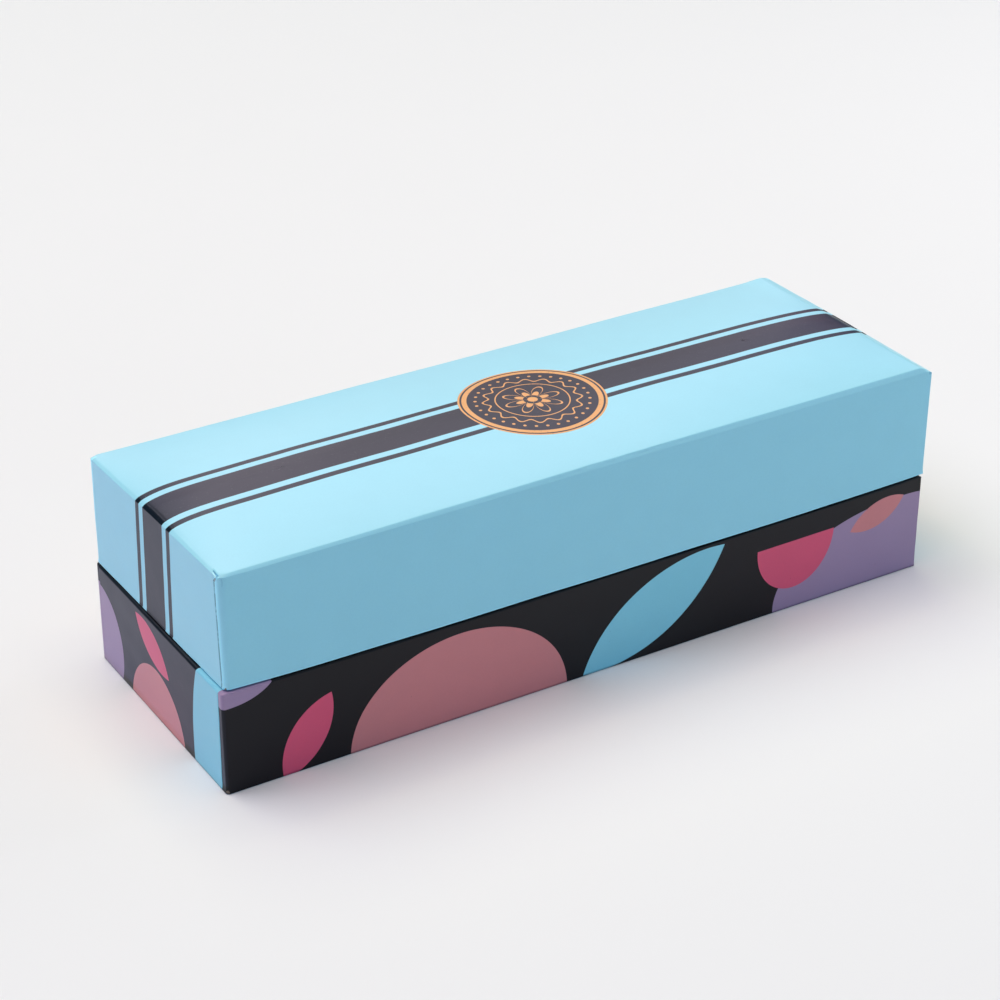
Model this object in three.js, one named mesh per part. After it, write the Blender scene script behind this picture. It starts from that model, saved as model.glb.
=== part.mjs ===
// A shut cardboard gift box, long and narrow, with a lift-off lid.
// Rigid board wrapped in printed paper: the lid sits on the base's shoulder, flush with its
// sides, and its top is gently crowned. Millimetres, +Z up, X along the length.
// The origin is the middle of the underside, and the front is at -Y.

import * as THREE from "three";

// Driving dimensions of the whole box
const LENGTH = 200;
const WIDTH = 69.8;
const HEIGHT = 59.7;
const RIM_HEIGHT = 27.6;
const BOARD = 2;
const CORNER_RADIUS = 1.2;

// Base: a wrapped tray whose long walls bow outward a little towards the shoulder
const FOOT_RADIUS = 0.6;
const SHOULDER_RADIUS = 1.2;
const BASE_BOW = 0.9;

// Neck: the solid inside of the box, which the lid slips over
const NECK_LENGTH = 193;
const NECK_WIDTH = 64;
const NECK_GAP = 0.6;

// Lid: its walls lean in and its long walls bow outward towards the open rim
const LID_RIM_LENGTH = 199.2;
const LID_RIM_WIDTH = 69.4;
const LID_BOW = 1.1;
const LID_RIM_RADIUS = 0.3;
const LID_EDGE_RADIUS = 1.7;
const LID_SHIFT = new THREE.Vector2(0.6, 0.3);

// Crown of the lid's top: a quick rise just inside the edges, then a slow one to the middle
const CROWN_RISE = 1.65;
const CROWN_RISE_WIDTH = 4.8;
const CROWN_MIDDLE = 0.65;

// Heights that follow from the dimensions above
const TOP_EDGE_HEIGHT = HEIGHT - CROWN_RISE - CROWN_MIDDLE;
const LID_WALL_TOP = TOP_EDGE_HEIGHT - LID_EDGE_RADIUS;

// Fineness of the facets
const LONG_STEPS = 16;
const SHORT_STEPS = 6;
const CORNER_STEPS = 3;
const WALL_STEPS = 4;
const ROUND_STEPS = 4;
const CROWN_INSETS = [1.5, 3.5, 6, 9, 13, 19, 27];
const LAST_STRIP_WIDTH = 3.6;

const { lerp, degToRad } = THREE.MathUtils;

// Plan outline, anticlockwise: a rectangle with round corners and long sides that bow outward.
function outline(length, width, bow = 0) {
  const cornerX = length / 2 - CORNER_RADIUS;
  const cornerY = width / 2 - CORNER_RADIUS;
  const corners = [
    [cornerX, -cornerY, -90],
    [cornerX, cornerY, 0],
    [-cornerX, cornerY, 90],
    [-cornerX, -cornerY, 180],
  ];
  const points = [];
  for (const [x, y, startAngle] of corners) {
    for (let step = 0; step <= CORNER_STEPS; step += 1) {
      const angle = degToRad(startAngle + (90 * step) / CORNER_STEPS);
      const arm = new THREE.Vector2(Math.cos(angle), Math.sin(angle)).multiplyScalar(CORNER_RADIUS);
      points.push(arm.add(new THREE.Vector2(x, y)));
    }
    const isShortSide = startAngle === -90 || startAngle === 90;
    const steps = isShortSide ? SHORT_STEPS : LONG_STEPS;
    const from = points.at(-1).clone();
    const to = isShortSide ? new THREE.Vector2(from.x, -from.y) : new THREE.Vector2(-from.x, from.y);
    for (let step = 1; step < steps; step += 1) {
      points.push(from.clone().lerp(to, step / steps));
    }
  }
  for (const point of points) {
    const middleness = 1 - (2 * point.x / length) ** 2;
    point.y *= 1 + (2 * bow * middleness) / width;
  }
  return points;
}

// Ring of a loft: the plan outline at one height, or at a height worked out point by point.
function ring(points, height) {
  const heightAt = typeof height === "function" ? height : () => height;
  return points.map(({ x, y }) => new THREE.Vector3(x, y, heightAt(x, y)));
}

// Triangles across a ring, between each point at the front and the one behind it.
function capTriangles(count) {
  const endMiddle = CORNER_STEPS + SHORT_STEPS / 2;
  const triangles = [];
  for (let step = 0; step < count / 2; step += 1) {
    const front = (endMiddle - step + count) % count;
    const nextFront = (front - 1 + count) % count;
    const back = endMiddle + step;
    const nextBack = back + 1;
    if (front !== back) {
      triangles.push([front, back, nextBack]);
    }
    if (nextFront !== nextBack) {
      triangles.push([front, nextBack, nextFront]);
    }
  }
  return triangles;
}

// Closed solid that runs through rings of equal point counts, from an underside to a top.
function loft(rings) {
  const count = rings[0].length;
  const indices = [];
  for (let level = 0; level < rings.length - 1; level += 1) {
    for (let i = 0; i < count; i += 1) {
      const a = level * count + i;
      const b = level * count + ((i + 1) % count);
      indices.push(a, b, b + count);
      indices.push(a, b + count, a + count);
    }
  }
  const topStart = (rings.length - 1) * count;
  for (const [a, b, c] of capTriangles(count)) {
    indices.push(c, b, a);
    indices.push(topStart + a, topStart + b, topStart + c);
  }
  const geometry = new THREE.BufferGeometry().setFromPoints(rings.flat());
  geometry.setIndex(indices);
  geometry.computeVertexNormals();
  return geometry;
}

// Rise of a crowned panel above its own edge.
function crown(x, y, length, width) {
  const fromEnd = length / 2 - Math.abs(x);
  const fromSide = width / 2 - Math.abs(y);
  const riseFrom = (distance) => 1 - Math.exp(-distance / CROWN_RISE_WIDTH);
  const middleness = (1 - (2 * x / length) ** 2) * (1 - (2 * y / width) ** 2);
  return CROWN_RISE * riseFrom(fromEnd) * riseFrom(fromSide) + CROWN_MIDDLE * middleness;
}

// Rings of a crowned panel, from its edge to a narrow strip along its middle.
function crownRings(length, width, edgeHeight) {
  const lastInset = (width - LAST_STRIP_WIDTH) / 2;
  const height = (x, y) => edgeHeight + crown(x, y, length, width);
  return [0, ...CROWN_INSETS, lastInset].map((inset) => {
    return ring(outline(length - 2 * inset, width - 2 * inset), height);
  });
}

// Rings of a round edge, from one angle to another above the level outward direction.
function roundRings(length, width, bow, radius, centreHeight, fromAngle, toAngle) {
  const rings = [];
  for (let step = 0; step <= ROUND_STEPS; step += 1) {
    const angle = degToRad(lerp(fromAngle, toAngle, step / ROUND_STEPS));
    const inset = radius * (1 - Math.cos(angle));
    const height = centreHeight + radius * Math.sin(angle);
    rings.push(ring(outline(length - 2 * inset, width - 2 * inset, bow), height));
  }
  return rings;
}

// The base, solid up to the underside of the lid's top
function makeBase() {
  const wallTop = RIM_HEIGHT - SHOULDER_RADIUS;
  const walls = [];
  for (let step = 1; step < WALL_STEPS; step += 1) {
    const height = lerp(FOOT_RADIUS, wallTop, step / WALL_STEPS);
    walls.push(ring(outline(LENGTH, WIDTH, BASE_BOW * (height / wallTop) ** 2), height));
  }
  return loft([
    ...roundRings(LENGTH, WIDTH, 0, FOOT_RADIUS, FOOT_RADIUS, -90, 0),
    ...walls,
    ...roundRings(LENGTH, WIDTH, BASE_BOW, SHOULDER_RADIUS, wallTop, 0, 90),
    ring(outline(NECK_LENGTH, NECK_WIDTH), RIM_HEIGHT),
    ...crownRings(NECK_LENGTH, NECK_WIDTH, TOP_EDGE_HEIGHT - BOARD - NECK_GAP),
  ]);
}

// The lid's outline at a height, moved in by a distance from its outer face
function lidOutline(height, inset = 0) {
  const lift = (height - RIM_HEIGHT) / (LID_WALL_TOP - RIM_HEIGHT);
  const length = lerp(LID_RIM_LENGTH, LENGTH, lift);
  const width = lerp(LID_RIM_WIDTH, WIDTH, lift);
  return outline(length - 2 * inset, width - 2 * inset, LID_BOW * (1 - lift) ** 1.5);
}

// The lid: one skin from its ceiling down to the rim, and up outside over the crowned top
function makeLid() {
  const wallHeights = [];
  for (let step = 0; step <= WALL_STEPS; step += 1) {
    wallHeights.push(lerp(RIM_HEIGHT + LID_RIM_RADIUS, LID_WALL_TOP, step / WALL_STEPS));
  }
  const insideLength = LENGTH - 2 * BOARD;
  const insideWidth = WIDTH - 2 * BOARD;
  return loft([
    ...crownRings(insideLength, insideWidth, TOP_EDGE_HEIGHT - BOARD).reverse(),
    ...wallHeights.slice(1, -1).reverse().map((height) => ring(lidOutline(height, BOARD), height)),
    ring(lidOutline(RIM_HEIGHT, BOARD), RIM_HEIGHT),
    ring(lidOutline(RIM_HEIGHT, LID_RIM_RADIUS), RIM_HEIGHT),
    ...wallHeights.slice(0, -1).map((height) => ring(lidOutline(height), height)),
    ...roundRings(LENGTH, WIDTH, 0, LID_EDGE_RADIUS, LID_WALL_TOP, 0, 90).slice(0, -1),
    ...crownRings(LENGTH - 2 * LID_EDGE_RADIUS, WIDTH - 2 * LID_EDGE_RADIUS, TOP_EDGE_HEIGHT),
  ]);
}

// Papers that wrap the board
const lidPaper = new THREE.MeshStandardMaterial({ color: 0x97d7ee, roughness: 0.55, metalness: 0 });
const basePaper = new THREE.MeshStandardMaterial({ color: 0x24242e, roughness: 0.5, metalness: 0 });

// The lid sits a little off the base, and the origin is midway between the two middles
const base = new THREE.Mesh(makeBase(), basePaper);
base.name = "base";
base.position.set(-LID_SHIFT.x / 2, -LID_SHIFT.y / 2, 0);

const lid = new THREE.Mesh(makeLid(), lidPaper);
lid.name = "lid";
lid.position.set(LID_SHIFT.x / 2, LID_SHIFT.y / 2, 0);

const box = new THREE.Group();
box.add(base, lid);

export default box;
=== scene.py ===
# Looks of a shut cardboard gift box: wrapped board with soft edges, printed paper and studio light.
# Sizes and places are in millimetres until a mesh, light or camera is made.

import math

import bpy
import numpy as np
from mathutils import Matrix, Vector


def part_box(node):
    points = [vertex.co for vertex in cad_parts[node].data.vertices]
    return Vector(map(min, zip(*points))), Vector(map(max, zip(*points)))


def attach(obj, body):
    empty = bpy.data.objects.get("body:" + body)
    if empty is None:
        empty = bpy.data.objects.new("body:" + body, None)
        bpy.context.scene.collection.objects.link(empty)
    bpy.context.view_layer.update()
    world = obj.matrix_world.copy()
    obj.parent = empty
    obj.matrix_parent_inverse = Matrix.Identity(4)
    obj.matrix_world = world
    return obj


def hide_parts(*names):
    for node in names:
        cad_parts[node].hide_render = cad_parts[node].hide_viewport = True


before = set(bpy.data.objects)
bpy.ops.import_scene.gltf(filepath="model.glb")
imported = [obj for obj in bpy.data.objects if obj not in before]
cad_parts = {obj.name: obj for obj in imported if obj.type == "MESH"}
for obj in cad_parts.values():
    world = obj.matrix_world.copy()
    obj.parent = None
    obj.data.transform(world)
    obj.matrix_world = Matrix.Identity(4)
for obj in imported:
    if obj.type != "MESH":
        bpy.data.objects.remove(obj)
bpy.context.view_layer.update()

MM = 0.001

# Sizes and places of the two solids, from the frame
base_low, base_high = (np.array(corner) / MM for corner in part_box("base"))
lid_low, lid_high = (np.array(corner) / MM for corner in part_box("lid"))
BASE_CENTRE = (base_low + base_high)[:2] / 2
LID_CENTRE = (lid_low + lid_high)[:2] / 2
LENGTH = lid_high[0] - lid_low[0]
HEIGHT = lid_high[2]
RIM_HEIGHT = lid_low[2]

# Bows and leans of the walls, and the plain width that is left without them
BASE_BOW = 0.9
LID_BOW = 1.1
LID_SIDE_LEAN = 0.2
LID_END_LEAN = 0.15
LID_FAR_FLARE = 0.25
WIDTH = base_high[1] - base_low[1] - 2 * BASE_BOW

# Board and edges: the corners are the front right, back right, back left and front left one
BOARD = 2
LID_STRETCH = 0.0065
BASE_STRETCH = 0.0035
LID_NEAR_SHIFT = 0.25
BASE_NEAR_SHIFT = -0.15
LID_RADII = (0.55, 0.8, 1.8, 1.5)
BASE_RADII = (0.3, 0.8, 1.2, 0.9)
NEAR_RADIUS_GROWTH = 0.6
LARGEST_RADIUS_SHARE = 0.45
FOOT_RADIUS = 0.25
NECK_END_INSET = 3.5
NECK_SIDE_INSET = 2.9
NECK_LENGTH = LENGTH - 2 * NECK_END_INSET
NECK_WIDTH = WIDTH - 2 * NECK_SIDE_INSET
NECK_GAP = 0.6

# The lid's open edge: it hangs lower towards the right end, over a narrow gap, with a fine bead
RIM_RADIUS = 0.12
RIM_DROP = 0.05
RIM_TILT = 0.4
RIM_GAP = 0.4
RIM_FLARE = 0.1
FLARE_REACH = 0.9
BEAD_HEIGHT = 0.25
BEAD_WIDTH = 0.15
BEAD_DEPTH = 0.07
WALL_HEIGHT = 29

# Crown of the lid's top: a quick rise inside its ends, then a slow one to the middle
CROWN_RISE = 1.7
LEFT_RISE_WIDTH = 4.8
RIGHT_RISE_WIDTH = 6.5
CROWN_MIDDLE = 0.6
TOP_EDGE_HEIGHT = HEIGHT - CROWN_RISE - CROWN_MIDDLE

# The top's edges: the front one arches up towards the right, and the back and right ones lie lower
FRONT_DROP = 0.14
FRONT_ARCH = 0.76
FRONT_ARCH_FROM, FRONT_ARCH_TO = -110, 30
BACK_DROP = 1.3
BACK_CORNER_LIFT = 0.5
BACK_CORNER_FROM, BACK_CORNER_TO = 90, 100
BACK_ARCH = 0.25
BACK_ARCH_FROM, BACK_ARCH_TO = 20, 60
RIGHT_DROP = 0.85
RIGHT_FRONT_DROP = 0.8
RIGHT_DROP_FROM, RIGHT_DROP_TO = 96.5, 101

# Lower creases of the lid's top edges
FRONT_CREASE_HEIGHT = 56.5
BACK_EDGE_RISE = 0.9
RIGHT_EDGE_RISE = 1.3
LEFT_CREASE_HEIGHT = 56.45
LEFT_CREASE_SLOPES = (-0.012, -0.024)
LEAST_EDGE_RISE = 0.3

# Rises of the base's shoulder on its ends and its long sides
SHOULDER_END_RISE = 0.65
SHOULDER_SIDE_RISE = 0.4

# Fineness of the meshes
CORNER_STEPS = 10
FINE_STEP = 0.14
SHORT_STEP = 0.9
LONG_STEP = 0.95
STEP_GROWTH = 1.12
FINE_LENGTH = 3.2
LAST_STRIP_WIDTH = 1.6


def graded(length, coarse):
    """Shares of a side's length, in fine steps near both of its corners and coarse ones between."""
    places = [0.0]
    step = FINE_STEP
    while places[-1] + step < length / 2:
        places.append(places[-1] + step)
        if places[-1] > FINE_LENGTH:
            step = min(coarse, step * STEP_GROWTH)
    near = np.array(places) / length
    return np.concatenate((near[1:], [0.5], 1 - near[:0:-1]))


SHORT_SHARES = graded(WIDTH, SHORT_STEP)
LONG_SHARES = graded(LENGTH, LONG_STEP)
SIDE_SHARES = (SHORT_SHARES, LONG_SHARES) * 2
END_MIDDLE = CORNER_STEPS + (len(SHORT_SHARES) + 1) // 2

# Corners of a plan, anticlockwise from the front right one, with the direction each arc starts in
CORNERS = ((1, -1, -90), (1, 1, 0), (-1, 1, 90), (-1, -1, 180))
CORNER_TURNS = np.radians(np.linspace(0, 90, CORNER_STEPS + 1))


def outline(length, width, bow=0.0, radii=LID_RADII,
            near_shift=LID_NEAR_SHIFT, stretch=LID_STRETCH):
    """Plan of the box, anticlockwise: round corners, and long sides that bow outward."""
    arcs = []
    for (side_x, side_y, start), radius in zip(CORNERS, radii):
        radius = min(radius, width * LARGEST_RADIUS_SHARE)
        angles = CORNER_TURNS + math.radians(start)
        arm = radius * np.column_stack((np.cos(angles), np.sin(angles)))
        arcs.append(arm + (side_x * (length / 2 - radius), side_y * (width / 2 - radius)))
    parts = []
    for arc, next_arc, shares in zip(arcs, arcs[1:] + arcs[:1], SIDE_SHARES):
        parts += [arc, arc[-1] + (next_arc[0] - arc[-1]) * shares[:, None]]
    points = np.vstack(parts)
    points[:, 1] *= 1 + 2 * bow * (1 - (2 * points[:, 0] / length) ** 4) / width
    toward_left = np.maximum(-2 * points[:, 0] / length, 0)
    points[:, 0] += stretch * np.maximum(points[:, 0], 0)
    points[:, 0] += near_shift * toward_left * (0.5 - points[:, 1] / width)
    return points


def side_shares():
    """How far each point of a plan faces a long side: 0 on the ends and 1 on the long sides."""
    parts = []
    for index, (_, _, start) in enumerate(CORNERS):
        parts.append(np.sin(CORNER_TURNS + math.radians(start)) ** 2)
        parts.append(np.full(len(SIDE_SHARES[index]), index % 2))
    return np.concatenate(parts)


SIDENESS = side_shares()


def ring(points, height):
    """Ring of a loft: a plan at one height, or at one height for each point."""
    return np.column_stack((points, np.broadcast_to(height, len(points))))


def smooth_step(value, low, high):
    """0 below low, 1 above high, and a smooth ramp between."""
    share = np.clip((value - low) / (high - low), 0, 1)
    return share * share * (3 - 2 * share)


def top_edge(points):
    """Height of the lid's top edge, and of the plane between its long edges."""
    x, y = points.T
    toward_back = np.clip(2 * y / WIDTH, -1, 1)
    front = FRONT_ARCH * smooth_step(x, FRONT_ARCH_FROM, FRONT_ARCH_TO) - FRONT_DROP
    back = BACK_CORNER_LIFT * smooth_step(x, BACK_CORNER_FROM, BACK_CORNER_TO) - BACK_DROP
    back += BACK_ARCH * smooth_step(x, BACK_ARCH_FROM, BACK_ARCH_TO)
    tilt = np.maximum(-toward_back, 0) * front + np.maximum(toward_back, 0) * back
    right = RIGHT_DROP + RIGHT_FRONT_DROP * np.maximum(-toward_back, 0)
    return TOP_EDGE_HEIGHT - right * smooth_step(x, RIGHT_DROP_FROM, RIGHT_DROP_TO) + tilt


def top_crease(points):
    """Height of the crease where the lid's walls turn in to the top edge."""
    x, y = points.T
    edge = top_edge(points)
    front = np.minimum(FRONT_CREASE_HEIGHT, edge - LEAST_EDGE_RISE)
    side = np.where(y < 0, front, edge - BACK_EDGE_RISE)
    left = LEFT_CREASE_HEIGHT + np.where(y < 0, *LEFT_CREASE_SLOPES) * y
    left = np.minimum(left, edge - LEAST_EDGE_RISE)
    end = np.where(x < 0, left, edge - RIGHT_EDGE_RISE)
    return end + (side - end) * SIDENESS


def rim_height(points):
    """Height of the lid's open edge."""
    return RIM_HEIGHT - RIM_DROP - RIM_TILT * (points[:, 0] / LENGTH + 0.5)


def shoulder_height(points):
    """Height of the base's shoulder, under the gap."""
    return rim_height(points) - RIM_GAP


def shoulder_crease(points):
    """Height of the crease where the base's walls turn in to its shoulder."""
    rise = SHOULDER_END_RISE + (SHOULDER_SIDE_RISE - SHOULDER_END_RISE) * SIDENESS
    return shoulder_height(points) - rise


def crown(points, length, width):
    """Rise of a crowned panel above its own edge."""
    x, y = points.T
    rise_width = np.where(x < 0, LEFT_RISE_WIDTH, RIGHT_RISE_WIDTH)
    from_end = 1 - np.exp(-(length / 2 - np.abs(x)) / rise_width)
    across = 1 - (2 * y / width) ** 2
    along = 1 - (2 * x / length) ** 2
    return across * (CROWN_RISE * from_end + CROWN_MIDDLE * along)


def crown_rings(length, width, drop, insets):
    """Rings of a crowned panel below the top, from its edge to a narrow strip along its middle."""
    rings = []
    for inset in (*insets, (width - LAST_STRIP_WIDTH) / 2):
        points = outline(length - 2 * inset, width - 2 * inset)
        rings.append(ring(points, top_edge(points) - drop + crown(points, length, width)))
    return rings


def fold(*stretches):
    """Section of a folded edge: its insets, and its rises as shares of the whole rise.

    Each stretch turns from one lean to another, in degrees from upright, over a length in steps.
    """
    inset = rise = 0.0
    places = [(inset, rise)]
    for start, stop, length, steps in stretches:
        for step in range(steps):
            lean = math.radians(start + (stop - start) * (step + 0.5) / steps)
            inset += length / steps * math.sin(lean)
            rise += length / steps * math.cos(lean)
            places.append((inset, rise))
    return [(inset, rise / places[-1][1]) for inset, rise in places]


def fold_rings(plan, end_fold, side_fold, low, high):
    """Rings of a folded edge between two heights, with a section for the ends and one for the sides."""
    rings = []
    for (end_inset, end_share), (side_inset, side_share) in zip(end_fold, side_fold):
        points = plan(end_inset, side_inset)
        share = end_share + (side_share - end_share) * SIDENESS
        rings.append(ring(points, low(points) + (high(points) - low(points)) * share))
    return rings


def cap_faces(count):
    """Faces across a ring, between each point at the front and the one behind it."""
    faces = []
    for step in range(count // 2):
        front = (END_MIDDLE - step) % count
        next_front = (front - 1) % count
        back = (END_MIDDLE + step) % count
        next_back = (back + 1) % count
        corners = dict.fromkeys((front, back, next_back, next_front))
        faces.append(tuple(corners))
    return faces


def loft(name, rings, centre, relief):
    """Closed smooth mesh through rings of equal point counts, its points then moved by a relief."""
    count = len(rings[0])
    faces = []
    for start in range(0, (len(rings) - 1) * count, count):
        for i in range(count):
            a, b = start + i, start + (i + 1) % count
            faces.append((a, b, b + count, a + count))
    top_start = (len(rings) - 1) * count
    for face in cap_faces(count):
        faces.append(face[::-1])
        faces.append(tuple(top_start + i for i in face))
    points = np.vstack(rings)
    mesh = bpy.data.meshes.new(name)
    mesh.from_pydata(points.tolist(), [], faces)
    normals = np.zeros(len(points) * 3, np.float32)
    mesh.vertices.foreach_get("normal", normals)
    normals = normals.reshape(-1, 3)
    points = points + normals * relief(points, normals)[:, None]
    points[:, :2] += centre
    mesh.vertices.foreach_set("co", (points * MM).astype(np.float32).ravel())
    mesh.shade_smooth()
    mesh.update()
    piece = bpy.data.objects.new(name, mesh)
    bpy.context.scene.collection.objects.link(piece)
    return piece


WAVE_COUNT = 14


def waves(points, length, seed):
    """Gentle unevenness of about unit height: sine waves of one length in seeded directions."""
    draw = np.random.default_rng(seed)
    directions = draw.normal(size=(WAVE_COUNT, 3))
    directions /= np.linalg.norm(directions, axis=1)[:, None]
    phases = draw.uniform(0, 2 * math.pi, WAVE_COUNT)
    angles = points @ directions.T * (2 * math.pi / length) + phases
    return np.sin(angles).sum(axis=1) / math.sqrt(WAVE_COUNT / 2)


# Seams at the upright corners: the end's paper lies over the flap of the long side's paper
PAPER_STEP = 0.09
SEAM_BLUR = 0.14
SEAM_GROOVE_DEPTH = 0.1
SEAM_GROOVE_WIDTH = 0.14
LID_SEAM_FROM_CORNER = (1.8, 2.4)
BASE_SEAM_FROM_CORNER = (2.6, 1.95)

# The groove stops below the top corner's fold, and groove and strip fade where the surface is level
SEAM_TOP = 55.5
SEAM_TOP_FADE = 0.6
SEAM_SLOPES = (0.3, 0.7)

# Distances from the end over which the strip and the groove come back out
STRIP_RETURN = (1, 8)
GROOVE_RETURN = (0.6, 1.2)


def seam_place(height, low, high, half_width, from_corner):
    """Distance of a seam from the middle of the end, at a height."""
    share = (height - low) / (high - low)
    return half_width - (from_corner[0] + (from_corner[1] - from_corner[0]) * share)


def seam_relief(points, normals, seam_at):
    """The corner's strip lies lower than the end's paper, and comes back out along the long side."""
    beyond = np.abs(points[:, 1]) - seam_at
    along = LENGTH / 2 - np.abs(points[:, 0])
    past_seam = smooth_step(beyond, -SEAM_BLUR / 2, SEAM_BLUR / 2)
    strip = past_seam * (1 - smooth_step(along, *STRIP_RETURN))
    below_fold = 1 - smooth_step(points[:, 2], SEAM_TOP - SEAM_TOP_FADE, SEAM_TOP)
    on_end = (1 - smooth_step(along, *GROOVE_RETURN)) * below_fold
    groove = np.exp(-((beyond - SEAM_BLUR / 2) / SEAM_GROOVE_WIDTH) ** 2) * on_end
    upright = 1 - smooth_step(np.abs(normals[:, 2]), *SEAM_SLOPES)
    return -(PAPER_STEP * strip + SEAM_GROOVE_DEPTH * groove) * upright


def dent(points, centre, size, depth):
    """A soft hollow of one size along each axis."""
    reach = (points - centre) / size
    return -depth * np.exp(-(reach ** 2).sum(axis=1))


# The folded paper at the lid's near top corner leaves a small open pocket between two lips
POCKET_START = np.array((-99.45, -31.8, 57.4))
POCKET_END = np.array((-99.6, -34.5, 57.2))
POCKET_DEPTH = 0.3
POCKET_WIDTH = 0.26
POCKET_START_SHARE = 0.55
POCKET_REACH = 3
LIP_HEIGHT = 0.08
LIP_DISTANCE = 0.5
LIP_WIDTH = 0.16

# The near top corner's outward direction
CORNER_FACING = np.array((-0.456, -0.748, 0.482))


def across_axes(start, end):
    """Unit directions along and across a run, both square to the near corner's direction."""
    along = (end - start) - ((end - start) @ CORNER_FACING) * CORNER_FACING
    along /= np.linalg.norm(along)
    return along, np.cross(CORNER_FACING, along)


def pocket_relief(points):
    """The pocket and its lips, however far in or out the paper lies there."""
    along, across = across_axes(POCKET_START, POCKET_END)
    reach = (POCKET_END - POCKET_START) @ along
    offset = points - POCKET_START
    share = np.clip(offset @ along / reach, 0, 1)
    away = np.hypot(offset @ along - share * reach, offset @ across)
    width = POCKET_WIDTH * (POCKET_START_SHARE + (1 - POCKET_START_SHARE) * share)
    lips = LIP_HEIGHT * np.exp(-((away - LIP_DISTANCE) / LIP_WIDTH) ** 2)
    near = np.abs(offset @ CORNER_FACING) < POCKET_REACH
    return (lips - POCKET_DEPTH * np.exp(-(away / width) ** 2)) * near


# Dents of the lid: puckers beside the pocket, then knocks along the front top edge
LID_DENTS = (
    ((-99.0, -34.9, 56.1), (0.3, 0.6, 0.9), 0.16),
    ((-98.3, -34.9, 56.0), (0.25, 0.6, 0.7), 0.1),
    ((-30, -34.8, 57.0), (1.8, 0.6, 0.3), 0.08),
    ((-12, -34.8, 57.1), (1.6, 0.6, 0.3), 0.1),
    ((-6.1, -34.7, 57.3), (1.1, 0.6, 0.25), 0.16),
    ((-2.6, -34.6, 57.7), (1.6, 0.6, 0.25), 0.14),
    ((3.5, -34.8, 57.2), (1.8, 0.6, 0.3), 0.1),
    ((8.5, -34.6, 57.6), (1.2, 0.6, 0.3), 0.14),
    ((12.8, -34.7, 57.3), (1.3, 0.6, 0.25), 0.16),
    ((17, -34.6, 57.7), (1.5, 0.6, 0.25), 0.14),
    ((24, -34.7, 57.4), (1.5, 0.6, 0.3), 0.1),
    ((37, -34.7, 57.4), (2.2, 0.6, 0.3), 0.08),
)


# Waves in the board: depth, length and seed
LID_WAVES = ((0.035, 38, 1), (0.008, 9, 2))
BASE_WAVES = ((0.03, 34, 3), (0.008, 8, 4))
FOOT_FADE = 1.5


def board_relief(points, layers):
    """Sum of the waves in the board."""
    return sum(depth * waves(points, length, seed) for depth, length, seed in layers)


def lid_relief(points, normals):
    """Unevenness of the lid's paper and board."""
    seam_at = seam_place(points[:, 2], RIM_HEIGHT, TOP_EDGE_HEIGHT, WIDTH / 2, LID_SEAM_FROM_CORNER)
    relief = seam_relief(points, normals, seam_at) + pocket_relief(points)
    for centre, size, depth in LID_DENTS:
        relief += dent(points, centre, size, depth)
    return relief + board_relief(points, LID_WAVES)


def base_relief(points, normals):
    """Unevenness of the base's paper and board."""
    seam_at = seam_place(points[:, 2], 0, RIM_HEIGHT, WIDTH / 2, BASE_SEAM_FROM_CORNER)
    relief = seam_relief(points, normals, seam_at) + board_relief(points, BASE_WAVES)
    return relief * smooth_step(points[:, 2], 0, FOOT_FADE)


# Sections of the folded edges, with equal numbers of steps on the ends and the long sides
LID_END_FOLD = fold((0, 40, 0.2, 4), (40, 42, 0.75, 5), (42, 71, 0.75, 7))
LID_SIDE_FOLD = fold((0, 30, 0.3, 4), (30, 38, 0.95, 6), (38, 84, 0.35, 6))
SHOULDER_END_FOLD = fold((0, 60, 0.5, 5), (60, 88, 0.8, 5))
SHOULDER_SIDE_FOLD = fold((0, 60, 0.3, 5), (60, 88, 0.2, 5))
CROWN_INSETS = (0.3, 0.6, 1, 1.4, 1.9, 2.5, 3.2, 4, 5, 6, 7, 8, 9.2, 10.4, 11.6, 13, 14.5, 16, 17.5,
                19, 20.5, 22, 23.5, 25, 26.5, 28, 29.5, 31, 32.5)
HIDDEN_INSETS = (0, 3, 9, 19)
RIM_LIFTS = (0.002, 0.004, 0.006, 0.009, 0.013, 0.018, 0.026, 0.04)
CREASE_LIFTS = (0.985, 0.996)
LID_WALL_LIFTS = np.linspace(0.06, 1, 26)[:-1]
FOOT_LIFTS = (0.008, 0.02, 0.04)
BASE_WALL_LIFTS = np.linspace(0.07, 1, 27)[:-1]
ROUND_TURNS = np.radians(np.linspace(-90, 0, 5))
INSIDE_RING_RISE = 12


def lid_plan(lift, end_inset=0.0, side_inset=0.0):
    """The lid's plan at a share of its wall's height, moved in from its outer face."""
    above_rim = lift * WALL_HEIGHT
    flare = RIM_FLARE * math.exp(-above_rim / FLARE_REACH)
    flare += BEAD_DEPTH * math.exp(-((above_rim - BEAD_HEIGHT) / BEAD_WIDTH) ** 2)
    length = LENGTH - 2 * (LID_END_LEAN * (1 - lift) + end_inset - flare)
    width = WIDTH - 2 * (LID_SIDE_LEAN * (1 - lift) + side_inset - flare)
    radii = (*LID_RADII[:3], LID_RADII[3] + NEAR_RADIUS_GROWTH * lift)
    points = outline(length, width, LID_BOW * (1 - lift) ** 1.5, radii)
    toward_far = np.maximum(-2 * points[:, 0] / length, 0) * (0.5 + points[:, 1] / width)
    points[:, 0] -= LID_FAR_FLARE * (1 - lift) * toward_far
    return points


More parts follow.
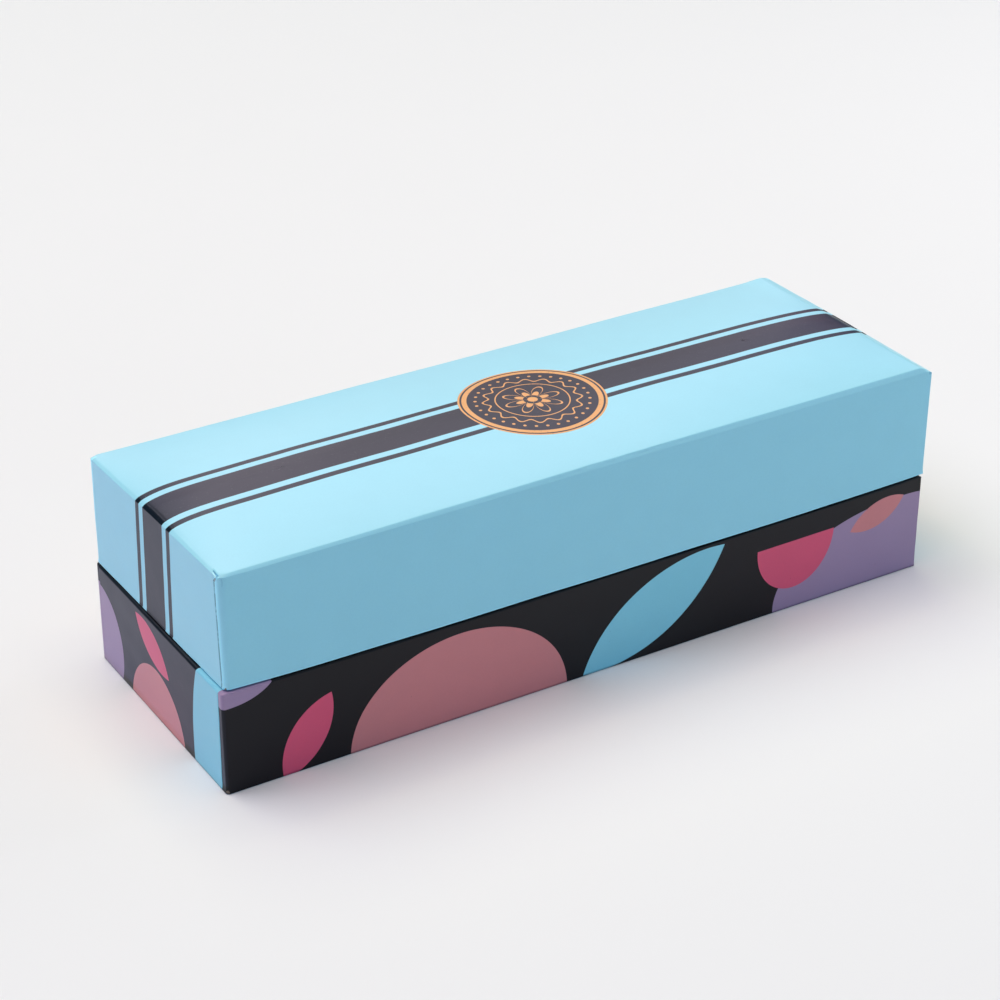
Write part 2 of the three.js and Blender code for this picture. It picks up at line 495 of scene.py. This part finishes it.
def make_lid():
    """One skin from the ceiling down to the rim, and up outside over the crowned top."""
    rings = crown_rings(LENGTH - 2 * BOARD, WIDTH - 2 * BOARD, BOARD, HIDDEN_INSETS)[::-1]
    inside = lid_plan(0, BOARD, BOARD)
    rings += [ring(inside, rim_height(inside) + INSIDE_RING_RISE), ring(inside, rim_height(inside))]
    for angle in ROUND_TURNS:
        inset = RIM_RADIUS * (1 - math.cos(angle))
        points = lid_plan(0, inset, inset)
        rings.append(ring(points, rim_height(points) + RIM_RADIUS * (1 + math.sin(angle))))
    for lift in (*RIM_LIFTS, *LID_WALL_LIFTS, *CREASE_LIFTS):
        points = lid_plan(lift)
        low = rim_height(points) + RIM_RADIUS
        rings.append(ring(points, low + (top_crease(points) - low) * lift))
    rings += fold_rings(lambda end, side: lid_plan(1, end, side), LID_END_FOLD, LID_SIDE_FOLD,
                        top_crease, top_edge)
    length, width = LENGTH - 2 * LID_END_FOLD[-1][0], WIDTH - 2 * LID_SIDE_FOLD[-1][0]
    rings += crown_rings(length, width, 0, CROWN_INSETS)
    return loft("lid_wrap", rings, LID_CENTRE, lid_relief)


def base_plan(lift, end_inset=0.0, side_inset=0.0):
    """The base's plan at a share of its wall's height, moved in from its outer face."""
    length, width = LENGTH - 2 * end_inset, WIDTH - 2 * side_inset
    return outline(length, width, BASE_BOW * lift ** 2, BASE_RADII, BASE_NEAR_SHIFT, BASE_STRETCH)


def make_base():
    """Tray with its rolled shoulder, solid up to the underside of the lid's top."""
    rings = []
    for angle in ROUND_TURNS:
        inset = FOOT_RADIUS * (1 - math.cos(angle))
        rings.append(ring(base_plan(0, inset, inset), FOOT_RADIUS * (1 + math.sin(angle))))
    for lift in (*FOOT_LIFTS, *BASE_WALL_LIFTS, *CREASE_LIFTS):
        points = base_plan(lift)
        rings.append(ring(points, FOOT_RADIUS + (shoulder_crease(points) - FOOT_RADIUS) * lift))
    rings += fold_rings(lambda end, side: base_plan(1, end, side), SHOULDER_END_FOLD,
                        SHOULDER_SIDE_FOLD, shoulder_crease, shoulder_height)
    foot = outline(NECK_LENGTH, NECK_WIDTH)
    rings.append(ring(foot, shoulder_height(foot)))
    rings += crown_rings(NECK_LENGTH, NECK_WIDTH, BOARD + NECK_GAP, HIDDEN_INSETS)
    return loft("base_wrap", rings, BASE_CENTRE, base_relief)


lid = make_lid()
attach(lid, "root")
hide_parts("lid")

base = make_base()
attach(base, "root")
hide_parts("base")


class Field:
    """A number that varies over a surface, worked out by Math nodes."""

    def __init__(self, tree, socket):
        self.tree = tree
        self.socket = socket

    def math(self, operation, *others):
        node = self.tree.nodes.new("ShaderNodeMath")
        node.operation = operation
        for value, slot in zip((self, *others), node.inputs):
            if isinstance(value, Field):
                self.tree.links.new(value.socket, slot)
            else:
                slot.default_value = value
        return Field(self.tree, node.outputs[0])

    def __add__(self, other):
        return self.math("ADD", other)

    def __sub__(self, other):
        return self.math("SUBTRACT", other)

    def __mul__(self, other):
        return self.math("MULTIPLY", other)

    def __truediv__(self, other):
        return self.math("DIVIDE", other)

    def __abs__(self):
        return self.math("ABSOLUTE")

    def __or__(self, other):
        return self.math("MAXIMUM", other)

    def __and__(self, other):
        return self.math("MINIMUM", other)

    def ramp(self, low, high):
        """0 below low, 1 above high, and a smooth ramp between."""
        node = self.tree.nodes.new("ShaderNodeMapRange")
        node.interpolation_type = "SMOOTHSTEP"
        self.tree.links.new(self.socket, node.inputs["Value"])
        node.inputs["From Min"].default_value = low
        node.inputs["From Max"].default_value = high
        return Field(self.tree, node.outputs["Result"])

    def within(self, limit, blur=0.06):
        """1 where the number is below a limit, 0 above it, with a narrow blur between."""
        share = self.math("MULTIPLY_ADD", -1 / blur, limit / blur + 0.5)
        return share.math("MINIMUM", 1).math("MAXIMUM", 0)

    def opposite(self):
        """1 where the number is 0, and 0 where it is 1."""
        return self * -1 + 1


def hypot(a, b):
    """Distance from two legs."""
    return (a * a + b * b).math("SQRT")


class Paper:
    """A paper material that is built up in layers of ink over its ground colour."""

    def __init__(self, name, ground, centre=(0, 0)):
        self.material = bpy.data.materials.new(name)
        self.material.use_nodes = True
        self.tree = self.material.node_tree
        self.shader = self.tree.nodes["Principled BSDF"]
        coordinates = self.tree.nodes.new("ShaderNodeTexCoord")
        scale = self.tree.nodes.new("ShaderNodeVectorMath")
        scale.operation = "SCALE"
        scale.inputs["Scale"].default_value = 1 / MM
        self.tree.links.new(coordinates.outputs["Object"], scale.inputs[0])
        self.place = scale.outputs[0]
        parts = self.tree.nodes.new("ShaderNodeSeparateXYZ")
        self.tree.links.new(self.place, parts.inputs[0])
        x, y, self.z = (Field(self.tree, socket) for socket in parts.outputs)
        self.x, self.y = x - float(centre[0]), y - float(centre[1])
        self.colour = self.flat_colour(ground)

    def flat_colour(self, colour):
        node = self.tree.nodes.new("ShaderNodeRGB")
        node.outputs[0].default_value = (*colour, 1)
        return node.outputs[0]

    def noise(self, size, detail=2.0, seed=0.0):
        """Noise between 0 and 1 with features of about one size."""
        node = self.tree.nodes.new("ShaderNodeTexNoise")
        node.noise_dimensions = "4D"
        node.inputs["W"].default_value = seed
        node.inputs["Scale"].default_value = 1 / size
        node.inputs["Detail"].default_value = detail
        self.tree.links.new(self.place, node.inputs["Vector"])
        return Field(self.tree, node.outputs[0])

    def ink(self, mask, colour):
        """Lays a colour over what is there, where the mask is 1."""
        node = self.tree.nodes.new("ShaderNodeMix")
        node.data_type = "RGBA"
        self.tree.links.new(mask.socket, node.inputs["Factor"])
        colours = [socket for socket in node.inputs if socket.type == "RGBA"]
        self.tree.links.new(self.colour, colours[0])
        colours[1].default_value = (*colour, 1)
        self.colour = next(socket for socket in node.outputs if socket.type == "RGBA")

    def shade(self, factor):
        """Makes the colour lighter or darker by a factor that varies."""
        node = self.tree.nodes.new("ShaderNodeVectorMath")
        node.operation = "SCALE"
        self.tree.links.new(self.colour, node.inputs[0])
        self.tree.links.new(factor.socket, node.inputs["Scale"])
        self.colour = node.outputs[0]

    def finish(self, piece, roughness, height, specular):
        """Connects the layers to the shader, with a bump height in millimetres."""
        bump = self.tree.nodes.new("ShaderNodeBump")
        bump.inputs["Distance"].default_value = MM
        self.tree.links.new(height.socket, bump.inputs["Height"])
        self.tree.links.new(bump.outputs["Normal"], self.shader.inputs["Normal"])
        self.tree.links.new(self.colour, self.shader.inputs["Base Color"])
        self.tree.links.new(roughness.socket, self.shader.inputs["Roughness"])
        self.shader.inputs["Specular IOR Level"].default_value = specular
        piece.data.materials.append(self.material)


# Inks and papers, as linear colours
SKY_BLUE = (0.36, 0.74, 0.86)
NIGHT = (0.005, 0.005, 0.008)
ROSE = (0.70, 0.24, 0.245)
PINK = (0.80, 0.10, 0.19)
VIOLET = (0.39, 0.26, 0.40)
AQUA = (0.27, 0.66, 0.785)
COPPER = (0.82, 0.40, 0.12)
RAW_BOARD = (0.20, 0.15, 0.12)

SPECULAR = 0.2
ROUGHNESS = 0.28
ROUGHNESS_RANGE = 0.05
ROUGHNESS_SIZE = 1.8

# Fine grain and soft unevenness of the paper: size, detail and height
GRAIN_LAYERS = ((0.35, 3, 0.004), (2.6, 2, 0.012))

# Clouds and fibres in the ink: size and detail
MOTTLE_LAYERS = ((9, 2), (0.5, 3))

# Edges of the worn spots and of the painted fold shade: size of their unevenness, its share of the
# spot, and reach and blur
SPOT_EDGE_SIZE = 0.4
SPOT_EDGE_SHARE = 1.4
SPOT_REACH = 0.8
SPOT_BLUR = 0.3


def grain(paper, seed):
    """Height of the paper's fine grain and soft unevenness, in millimetres."""
    fine, soft = (paper.noise(size, detail, seed + index) * height
                  for index, (size, detail, height) in enumerate(GRAIN_LAYERS))
    return fine + soft


def mottle(paper, seed, strength):
    """Factor near 1 for the slight unevenness of ink on paper."""
    cloud, fibre = ((paper.noise(size, detail, seed + index) - 0.5) * strength
                    for index, (size, detail) in enumerate(MOTTLE_LAYERS))
    return cloud + fibre + 1


def uneven_roughness(paper, seed):
    """Roughness that varies a little over the paper."""
    return paper.noise(ROUGHNESS_SIZE, 2, seed) * ROUGHNESS_RANGE + ROUGHNESS


def wear_and_shade_spot(paper, place, size, seed):
    """Mask of one small spot with an uneven edge, used for worn spots and for painted fold shade."""
    x, y, z = place
    away = hypot(hypot(paper.x - x, paper.y - y), paper.z - z)
    rough = paper.noise(SPOT_EDGE_SIZE, 2, seed) - 0.5
    return (away + rough * size * SPOT_EDGE_SHARE).within(size * SPOT_REACH, size * SPOT_BLUR)


def toward(paper, origin, direction):
    """Distance from a place along a direction."""
    x, y, z = (float(part) for part in direction)
    return paper.x * x + paper.y * y + paper.z * z - float(np.dot(origin, direction))


def corner_stroke(paper, start, end, half_widths, blur=0.1):
    """Mask of a stroke at the near corner, between two places, with a width at each."""
    start, end = np.array(start), np.array(end)
    along_axis, across_axis = across_axes(start, end)
    reach = float((end - start) @ along_axis)
    along = toward(paper, start, along_axis)
    half_width = along * ((half_widths[1] - half_widths[0]) / reach) + half_widths[0]
    across = abs(toward(paper, start, across_axis)) - half_width
    near = abs(toward(paper, start, CORNER_FACING)).within(POCKET_REACH)
    return across.within(0, blur) * abs(along - reach / 2).within(reach / 2, blur) * near


def above_rim(paper):
    """Height above the lid's open edge."""
    return paper.z - (paper.x * (-RIM_TILT / LENGTH) + (RIM_HEIGHT - RIM_DROP - RIM_TILT / 2))


# Print on the lid
STRIPE_MIDDLE = -0.70
STRIPE_SLOPE = 0.0035
STRIPE_LEAN = 0.06
BAND_HALF_WIDTH = 5.2
LINE_MIDDLE = 8.22
LINE_HALF_WIDTH = 0.92
BADGE_CENTRE = (2.4, -1.0)
BADGE_RADIUS = 18.45
BADGE_RINGS = ((18.2, 0.25), (16.83, 0.62))

# Ornament inside the badge: counts, radii and half widths of its lines
SCALLOP_COUNT = 16
SCALLOP_RADIUS = 11.6
SCALLOP_DEPTH = 0.75
SCALLOP_LINE = 0.24
DOT_COUNT = 32
DOT_CIRCLE = 14.1
DOT_RADIUS = 0.42
PETAL_COUNT = 8
PETAL_LENGTH = 7.4
PETAL_ROUNDNESS = 0.6
PETAL_LINE = 0.26
INNER_PETAL_SHARE = 0.62
INNER_PETALS_FROM = (2.3, 2.4)
INNER_RING = (9.2, 0.16)
HEART_RADIUS = 1.3

# Fine marks at the lid's near top corner: painted shade in the pocket and along a curved crease,
# painted highlights on the two lips, and one dark mark. Each has a start, end, half widths, strength
# and colour
CORNER_SHADE_AND_HIGHLIGHTS = (
    (POCKET_START, POCKET_END, (0.12, 0.26), 0.9, (0.12, 0.38, 0.56)),
    ((-99.5, -31.87, 57.07), (-99.5, -33.19, 56.49), (0.1, 0.2), 0.9, (0.50, 0.88, 0.95)),
    ((-99.5, -33.61, 56.19), (-99.5, -34.67, 57.23), (0.16, 0.2), 0.8, (0.42, 0.88, 0.98)),
    ((-99.5, -33.11, 56.19), (-99.5, -32.33, 55.03), (0.2, 0.28), 0.75, (0.16, 0.19, 0.19)),
    ((-99.5, -35.65, 57.14), (-99.5, -36.01, 56.43), (0.12, 0.16), 0.4, (0.22, 0.52, 0.66)),
    ((-99.5, -36.01, 56.43), (-99.5, -35.77, 55.17), (0.16, 0.1), 0.4, (0.22, 0.52, 0.66)),
)
# Colour of the painted shade in the seams' gaps
SEAM_SHADE_COLOUR = (0.16, 0.36, 0.43)
SPECK_COLOUR = (0.05, 0.05, 0.05)
# Painted shade of the paper's fold at the lid's right front top corner: colour, place, size and
# strength
FOLD_SHADE_COLOUR = (0.12, 0.40, 0.58)
FOLD_PLACE = (LENGTH / 2, -34.6, 56.3)
FOLD_SIZE = 0.8
FOLD_STRENGTH = 0.5
# Painted highlight along the lid's open edge, where its bead turns up to the light: strength, and the
# band's height, blur and fade
RIM_PAINTED_HIGHLIGHT = 0.13
RIM_BAND, RIM_BAND_BLUR = 0.4, 0.15
RIM_BAND_FADE = (-0.3, 0.1)
# Painted highlight on the rounded upright corners just past the seams: strength, and the distances over
# which it rises and falls
CORNER_STRIP_HIGHLIGHT = 0.26
HIGHLIGHT_RISE, HIGHLIGHT_FALL = (0.05, 0.3), (0.4, 1.7)
# Painted shade in the seams' gaps: strength, half width, blurs, and the noise that breaks it up
SEAM_STRENGTH = 0.8
SEAM_HALF_WIDTH, SEAM_LINE_BLUR = 0.17, 0.12
SEAM_LINE_TOP_BLUR = 0.3
SEAM_BREAK_SIZE = 1.5
SEAM_BREAKS = (0.25, 0.55)
LID_WEAR = (-99.3, -34.35, RIM_HEIGHT + 0.05)
LID_WEAR_SIZE = 0.45
MOTTLE_ON_LID, MOTTLE_ON_BASE = 0.05, 0.06

# Specks: strength, and for each paper their size, seed and the noise levels that show
SPECK_STRENGTH = 0.5
LID_SPECKS = (0.55, 14, (0.6, 0.75))
BASE_SPECKS = (0.6, 36, (0.74, 0.8))

# Places along the box where the masks of the ends begin and are full
LID_END_MASK = (LENGTH / 2 - 1.6, LENGTH / 2 - 1.3)
BASE_END_MASK = (LENGTH / 2 - 1.6, LENGTH / 2 - 1.5)


def specks(paper, size, seed, levels):
    """Mask of fine specks."""
    return paper.noise(size, 2, seed).ramp(*levels)


def lid_material():
    paper = Paper("lid_paper_blue", SKY_BLUE, LID_CENTRE)
    below_top = (paper.z * -1 + TOP_EDGE_HEIGHT) | 0
    across = abs(paper.y - paper.x * STRIPE_SLOPE - below_top * STRIPE_LEAN - STRIPE_MIDDLE)
    band = across.within(BAND_HALF_WIDTH)
    line = abs(across - LINE_MIDDLE).within(LINE_HALF_WIDTH)
    paper.ink(band | line, NIGHT)
    from_badge_x = paper.x - BADGE_CENTRE[0]
    from_badge_y = paper.y - BADGE_CENTRE[1]
    radius = hypot(from_badge_x, from_badge_y)
    angle = from_badge_y.math("ARCTAN2", from_badge_x)
    is_top = paper.z.ramp(TOP_EDGE_HEIGHT - 1, TOP_EDGE_HEIGHT)
    paper.ink(radius.within(BADGE_RADIUS) * is_top, NIGHT)
    copper = ornament(radius, angle)
    for middle, half_width in BADGE_RINGS:
        copper = copper | ring_of(radius, middle, half_width)
    paper.ink(copper * is_top, COPPER)
    # Painted shade in the gap along each seam
    seam = seam_gap_shade(paper, RIM_HEIGHT, TOP_EDGE_HEIGHT, LID_SEAM_FROM_CORNER)
    breaks = paper.noise(SEAM_BREAK_SIZE, 2, 4).ramp(*SEAM_BREAKS)
    paper.ink(seam * breaks * SEAM_STRENGTH, SEAM_SHADE_COLOUR)
    # Painted shade and highlights of the folded paper at the near top corner
    for start, end, half_widths, strength, colour in CORNER_SHADE_AND_HIGHLIGHTS:
        paper.ink(corner_stroke(paper, start, end, half_widths) * strength, colour)
    paper.ink(wear_and_shade_spot(paper, LID_WEAR, LID_WEAR_SIZE, 5), RAW_BOARD)
    # Painted highlight on the corner strip past each seam, where the rounded corner turns towards the
    # light
    beyond = beyond_seam(paper, RIM_HEIGHT, TOP_EDGE_HEIGHT, LID_SEAM_FROM_CORNER)
    strip = beyond.ramp(*HIGHLIGHT_RISE) * beyond.ramp(*HIGHLIGHT_FALL).opposite() * is_top.opposite()
    paper.shade(strip * on_ends(paper) * CORNER_STRIP_HIGHLIGHT + 1)
    # Painted shade in the fold at the right front top corner
    paper.ink(wear_and_shade_spot(paper, FOLD_PLACE, FOLD_SIZE, 6) * FOLD_STRENGTH, FOLD_SHADE_COLOUR)
    # Painted highlight: a lighter band just above the lid's open edge
    height = above_rim(paper)
    rim_highlight = height.within(RIM_BAND, RIM_BAND_BLUR) * height.ramp(*RIM_BAND_FADE)
    paper.shade(rim_highlight * RIM_PAINTED_HIGHLIGHT + 1)
    on_dark_top = (band | radius.within(BADGE_RADIUS)) & is_top
    paper.ink(specks(paper, *LID_SPECKS) * on_dark_top * SPECK_STRENGTH, SPECK_COLOUR)
    paper.shade(mottle(paper, 10, MOTTLE_ON_LID))
    paper.finish(lid, uneven_roughness(paper, 12), grain(paper, 20), SPECULAR)


def ring_of(radius, middle, half_width):
    """Mask of a printed ring."""
    return abs(radius - middle).within(half_width)


def ornament(radius, angle):
    """A plain ornament of rings, scallops, dots and petals inside the badge."""
    scallops = (angle * SCALLOP_COUNT).math("COSINE") * SCALLOP_DEPTH + SCALLOP_RADIUS
    mask = abs(radius - scallops).within(SCALLOP_LINE)
    step = 2 * math.pi / DOT_COUNT
    turn = (angle / step).math("FLOOR") * step + step / 2
    dots = hypot(radius - DOT_CIRCLE, (angle - turn) * DOT_CIRCLE).within(DOT_RADIUS)
    swing = abs((angle * (PETAL_COUNT / 2)).math("COSINE"))
    petals = swing.math("POWER", PETAL_ROUNDNESS) * PETAL_LENGTH
    outer_petals = abs(radius - petals).within(PETAL_LINE)
    inner_petals = (radius - petals * INNER_PETAL_SHARE).within(0) * radius.ramp(*INNER_PETALS_FROM)
    mask = mask | dots | outer_petals | inner_petals
    return mask | ring_of(radius, *INNER_RING) | radius.within(HEART_RADIUS)


def on_ends(paper):
    """Mask of the lid's two ends."""
    return abs(paper.x).ramp(*LID_END_MASK)


def beyond_seam(paper, low, high, from_corner):
    """Distance past the seams on both ends, toward the corners."""
    share = (paper.z - low) / (high - low)
    seam_at = share * (from_corner[0] - from_corner[1]) + (WIDTH / 2 - from_corner[0])
    return abs(paper.y) - seam_at


def seam_gap_shade(paper, low, high, from_corner):
    """Mask of the painted shade in the narrow gap beside the paper's cut edge, along the seams on both
    ends.
    """
    upright = paper.z.within(SEAM_TOP, SEAM_LINE_TOP_BLUR)
    beyond = beyond_seam(paper, low, high, from_corner)
    return abs(beyond).within(SEAM_HALF_WIDTH, SEAM_LINE_BLUR) * on_ends(paper) * upright


def ellipse(u, v, centre_u, centre_v, half_u, half_v):
    """Mask of a printed ellipse."""
    away = hypot((u - centre_u) / half_u, (v - centre_v) / half_v)
    return away.within(1, 0.06 / min(half_u, half_v))


def leaf(u, v, centre_u, centre_v, half_length, half_width, tilt):
    """Mask of a leaf, the part that two circles share."""
    cosine, sine = math.cos(math.radians(tilt)), math.sin(math.radians(tilt))
    along = (u - centre_u) * cosine + (v - centre_v) * sine
    across = (v - centre_v) * cosine - (u - centre_u) * sine
    radius = (half_length ** 2 + half_width ** 2) / (2 * half_width)
    return hypot(along, abs(across) + (radius - half_width)).within(radius)


def cut_ellipse(u, v, centre_u, centre_v, half_u, half_v, top):
    """Mask of a printed ellipse that is cut off straight at the top."""
    return ellipse(u, v, centre_u, centre_v, half_u, half_v) * v.within(top)


# Fields on the base's long sides and on its ends: shape, places and sizes, and colour
SIDE_PRINT = (
    (ellipse, (-38, -1, 30, 25), ROSE),
    (ellipse, (-99, 31, 13, 8), VIOLET),
    (leaf, (-79, 9, 12, 5, 58), PINK),
    (leaf, (17, 13, 24, 8.5, 32), AQUA),
    (ellipse, (92, 1, 38, 22), VIOLET),
    (cut_ellipse, (60, 20, 12, 14, 20), PINK),
    (leaf, (86, 20, 9, 3.6, 20), ROSE),
)
END_PRINT = (
    (ellipse, (2, -3, 15, 17), ROSE),
    (ellipse, (-34, 5, 16, 34), AQUA),
    (leaf, (3, 20, 10, 4, 30), PINK),
    (ellipse, (34, 7, 13, 15), VIOLET),
)

# Painted contact shade along the base's lowest edge, and its worn spot
FOOT_SHADE = 0.55
FOOT_SHADE_FADE = (0.15, 0.8)
BASE_WEAR = (-LENGTH / 2 + 0.2, -WIDTH / 2 + 0.2, 0.6)
BASE_WEAR_SIZE = 0.55

# Heights above the lid's open edge where the base's plain inside begins, and of the underside
INSIDE_FADE = (-0.2, 0.1)
UNDERSIDE = 0.02


def base_material():
    paper = Paper("base_paper_print", NIGHT, BASE_CENTRE)
    x, y, z = paper.x, paper.y, paper.z
    along = x * (y.math("SIGN") * -1)
    beyond = beyond_seam(paper, 0, RIM_HEIGHT, BASE_SEAM_FROM_CORNER)
    is_end = abs(x).ramp(*BASE_END_MASK) * beyond.within(0)
    is_side = is_end.opposite()
    for shape, sizes, colour in SIDE_PRINT:
        paper.ink(shape(along, z, *sizes) * is_side, colour)
    for shape, sizes, colour in END_PRINT:
        paper.ink(shape(y, z, *sizes) * is_end, colour)
    is_inside = above_rim(paper).ramp(*INSIDE_FADE)
    is_under = z.within(UNDERSIDE, UNDERSIDE)
    paper.ink(is_inside | is_under, NIGHT)
    paper.ink(wear_and_shade_spot(paper, BASE_WEAR, BASE_WEAR_SIZE, 7), RAW_BOARD)
    paper.ink(specks(paper, *BASE_SPECKS) * SPECK_STRENGTH, SPECK_COLOUR)
    # Painted contact shade along the base's lowest edge
    paper.shade(z.ramp(*FOOT_SHADE_FADE) * (1 - FOOT_SHADE) + FOOT_SHADE)
    paper.shade(mottle(paper, 30, MOTTLE_ON_BASE))
    paper.finish(base, uneven_roughness(paper, 32), grain(paper, 40), SPECULAR)


lid_material()
base_material()


# Floor
FLOOR_HALF_SIZE = 4000
FLOOR_DROP = 0.02
FLOOR_COLOUR = (0.86, 0.86, 0.86)
FLOOR_SPECULAR = 0.1

floor_mesh = bpy.data.meshes.new("floor")
floor_corners = [(-1, -1), (1, -1), (1, 1), (-1, 1)]
floor_mesh.from_pydata(
    [(x * FLOOR_HALF_SIZE * MM, y * FLOOR_HALF_SIZE * MM, -FLOOR_DROP * MM) for x, y in floor_corners],
    [], [(0, 1, 2, 3)])
floor = bpy.data.objects.new("floor", floor_mesh)
bpy.context.scene.collection.objects.link(floor)
floor_paper = Paper("floor_paper", FLOOR_COLOUR)
floor_paper.shade(floor_paper.noise(60, 2, 50) * 0.01 + 0.995)
floor_roughness = floor_paper.noise(5, 2, 51) * 0.1 + 0.75
floor_height = floor_paper.noise(0.8, 2, 52) * 0.01
floor_paper.finish(floor, floor_roughness, floor_height, FLOOR_SPECULAR)


def aim(thing, place, target):
    """Puts a lamp or the camera at a place and points it at a target."""
    thing.location = Vector(place) * MM
    thing.rotation_euler = ((Vector(target) - Vector(place)) * MM).to_track_quat("-Z", "Y").to_euler()


def softbox(name, place, target, size, watts, gloss_only=False):
    """A rectangular area lamp, with its watts of red, green and blue light."""
    lamp = bpy.data.lights.new(name, "AREA")
    lamp.shape = "RECTANGLE"
    lamp.size, lamp.size_y = (side * MM for side in size)
    lamp.energy = max(watts)
    lamp.color = [share / lamp.energy for share in watts]
    thing = bpy.data.objects.new(name, lamp)
    bpy.context.scene.collection.objects.link(thing)
    aim(thing, place, target)
    thing.visible_camera = False
    thing.visible_diffuse = not gloss_only


def around(turn, elevation, distance):
    """A place round the box: a turn of 0 is in front and 90 at its right end, in degrees."""
    turn, elevation = math.radians(turn), math.radians(elevation)
    level = distance * math.cos(elevation)
    return (level * math.sin(turn), -level * math.cos(turn), distance * math.sin(elevation))


# Soft lamps high above the set
TARGET = (0, 0, 30)
LAMP_DISTANCE = 2600
softbox("above", (0, 0, LAMP_DISTANCE), TARGET, (1850, 1850), (34.1, 24.2, 14.3))
HIGH = (1400, 1400)
softbox("high_back", around(180, 60, LAMP_DISTANCE), TARGET, HIGH, (11.8, 11.5, 5.9))
softbox("high_back_left", around(225, 60, LAMP_DISTANCE), TARGET, HIGH, (19.2, 18.7, 20.0))
softbox("high_left", around(270, 60, LAMP_DISTANCE), TARGET, HIGH, (11.9, 9.8, 11.6))

# Small lamps that stand near the right end
NEAR_DISTANCE = 800
NEAR = (400, 300)
softbox("near_right", around(90, 25, NEAR_DISTANCE), TARGET, NEAR, (0.97, 0.93, 0.97))
softbox("near_front_right", around(40, 12, NEAR_DISTANCE), TARGET, NEAR, (0.53, 0.65, 0.67))

# Cards behind the box that only the gloss of the paper sees
CARD_DISTANCE = 1450
CARD = (560, 400)
for name, turn, elevation, watts in (
    ("card_right", 130, 25, (0.62, 0.59, 0.91)),
    ("card_low", 145, 12, (0.46, 0.16, 0.13)),
    ("card_back", 150, 25, (0.81, 0.78, 0.78)),
    ("card_high", 150, 40, (2.52, 2.16, 2.59)),
    ("card_left", 168, 22, (1.25, 0.96, 1.10)),
    ("card_high_left", 176, 42, (2.41, 2.28, 2.98)),
):
    softbox(name, around(turn, elevation, CARD_DISTANCE), TARGET, CARD, watts, gloss_only=True)

# A low card on the floor beside the end, which faces up
FLOOR_CARD_PLACE, FLOOR_CARD_TARGET = (-250, 90, 2), (-250, 90, 50)
softbox("card_floor", FLOOR_CARD_PLACE, FLOOR_CARD_TARGET, (300, 420), (0.06, 0.07, 0.16),
        gloss_only=True)

# Light of the room, and the pale room that the camera sees
ROOM_LIGHT = (0, 0.153, 0.316)
SEEN_ROOM = (0.85, 0.85, 0.86)

world = bpy.data.worlds.new("studio")
world.use_nodes = True
world_tree = world.node_tree
room = world_tree.nodes["Background"]
room.inputs["Color"].default_value = (*ROOM_LIGHT, 1)
seen_room = world_tree.nodes.new("ShaderNodeBackground")
seen_room.inputs["Color"].default_value = (*SEEN_ROOM, 1)
ray = world_tree.nodes.new("ShaderNodeLightPath")
room_mix = world_tree.nodes.new("ShaderNodeMixShader")
world_tree.links.new(ray.outputs["Is Camera Ray"], room_mix.inputs[0])
world_tree.links.new(room.outputs[0], room_mix.inputs[1])
world_tree.links.new(seen_room.outputs[0], room_mix.inputs[2])
world_tree.links.new(room_mix.outputs[0], world_tree.nodes["World Output"].inputs["Surface"])
bpy.context.scene.world = world

# Camera at the photograph's angle
CAMERA_AZIMUTH = -31.36
CAMERA_ELEVATION = 28.80
CAMERA_DISTANCE = 668.1
CAMERA_TARGET = (-2.68, 5.64, 30)
FOCAL_LENGTH = 95.76
SENSOR_WIDTH = 36

azimuth, elevation = math.radians(CAMERA_AZIMUTH), math.radians(CAMERA_ELEVATION)
back = Vector((math.sin(azimuth) * math.cos(elevation), -math.cos(azimuth) * math.cos(elevation),
               math.sin(elevation)))
camera_data = bpy.data.cameras.new("camera")
camera_data.lens = FOCAL_LENGTH
camera_data.sensor_width = SENSOR_WIDTH
camera = bpy.data.objects.new("camera", camera_data)
bpy.context.scene.collection.objects.link(camera)
aim(camera, Vector(CAMERA_TARGET) + back * CAMERA_DISTANCE, CAMERA_TARGET)
bpy.context.scene.camera = camera
bpy.context.scene.view_settings.view_transform = "Standard"
